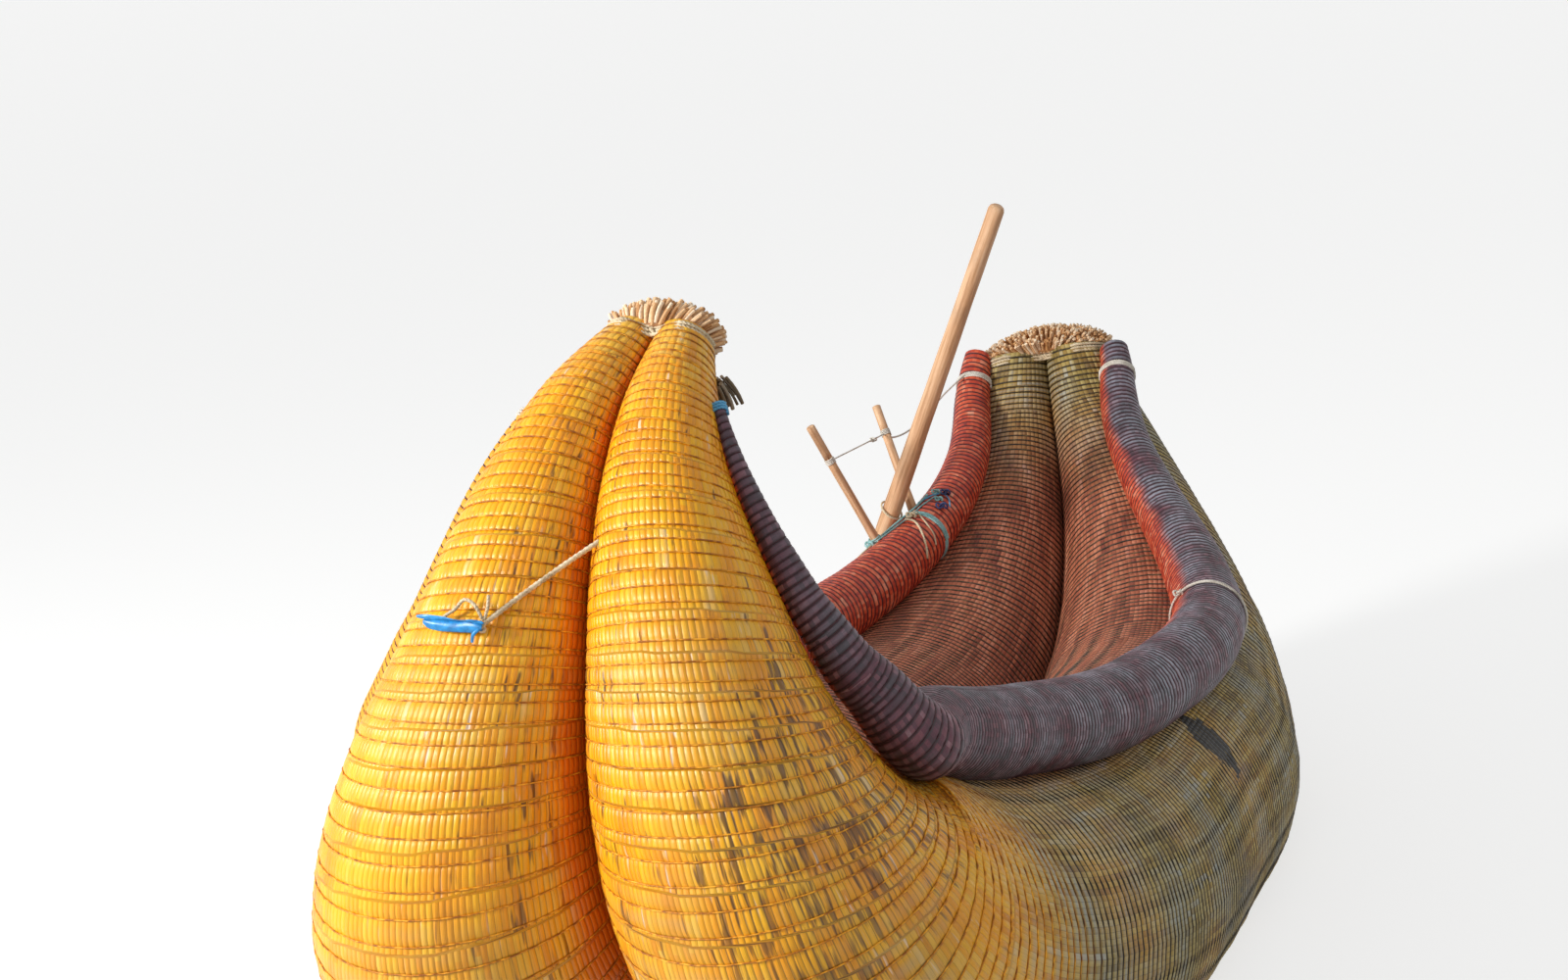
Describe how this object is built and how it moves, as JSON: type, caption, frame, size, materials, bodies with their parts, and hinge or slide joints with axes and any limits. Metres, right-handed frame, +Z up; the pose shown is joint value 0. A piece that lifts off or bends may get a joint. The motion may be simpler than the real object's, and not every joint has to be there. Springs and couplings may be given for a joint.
{
  "type": "reed boat",
  "caption": "Boat of two bound reed bundles swept up at bow and stern, with dyed gunwale rolls, two thole stakes and an oar that sweeps and lifts in a rope grommet.",
  "frame": {"origin": "on the ground under the middle of the boat, where the two bundles stand when it is drawn up on a beach", "axes": "+X to the bow, +Y to port, +Z up"},
  "size_m": [4.4219, 1.7838, 2.0413],
  "materials": {
    "reed": "dry golden reed bound with reed cord",
    "dyed_roll": "reed roll under close turns of red dyed cord",
    "cut_reed": "cut reed ends",
    "rope": "pale laid rope",
    "peeled_wood": "peeled pole, unvarnished",
    "blue_plastic": "bright blue plastic strip, folded"
  },
  "bodies": {
    "boat": {"bow_rope": "rope", "bow_rope_knot": "rope", "bow_tip_lashing": "rope", "bow_toggle": "blue_plastic", "bow_tuft": "cut_reed", "gunwale_roll_port": "dyed_roll", "gunwale_roll_starboard": "dyed_roll", "hull_bundle_port": "reed", "hull_bundle_starboard": "reed", "port_roll_tie": "rope", "roll_tie_bow_port": "rope", "roll_tie_bow_starboard": "rope", "roll_tie_stern_port": "rope", "roll_tie_stern_starboard": "rope", "stake_cord_knot": "rope", "stern_guy": "rope", "stern_tip_lashing": "rope", "stern_tuft": "cut_reed", "thole_aft": "peeled_wood", "thole_fore": "peeled_wood", "thole_lashing": "rope", "thole_wrap_aft": "rope", "thole_wrap_fore": "rope", "tight_stake_cord": "rope"},
    "grommet": {"oar_grommet": "rope"},
    "oar": {"oar_blade": "peeled_wood", "oar_pegs": "peeled_wood", "oar_shaft": "peeled_wood"}
  },
  "joints": [
    {"name": "oar_sweep", "type": "hinge", "parent": "boat", "child": "grommet", "pos_m": [-0.7, -0.49541, 1.01157], "axis": [0, 0, 1], "range_deg": [-12, 45]},
    {"name": "oar_lift", "type": "hinge", "parent": "grommet", "child": "oar", "pos_m": [-0.7, -0.49541, 1.01157], "axis": [-0.9613, 0.2756, 0], "range_deg": [0, 35]}
  ]
}
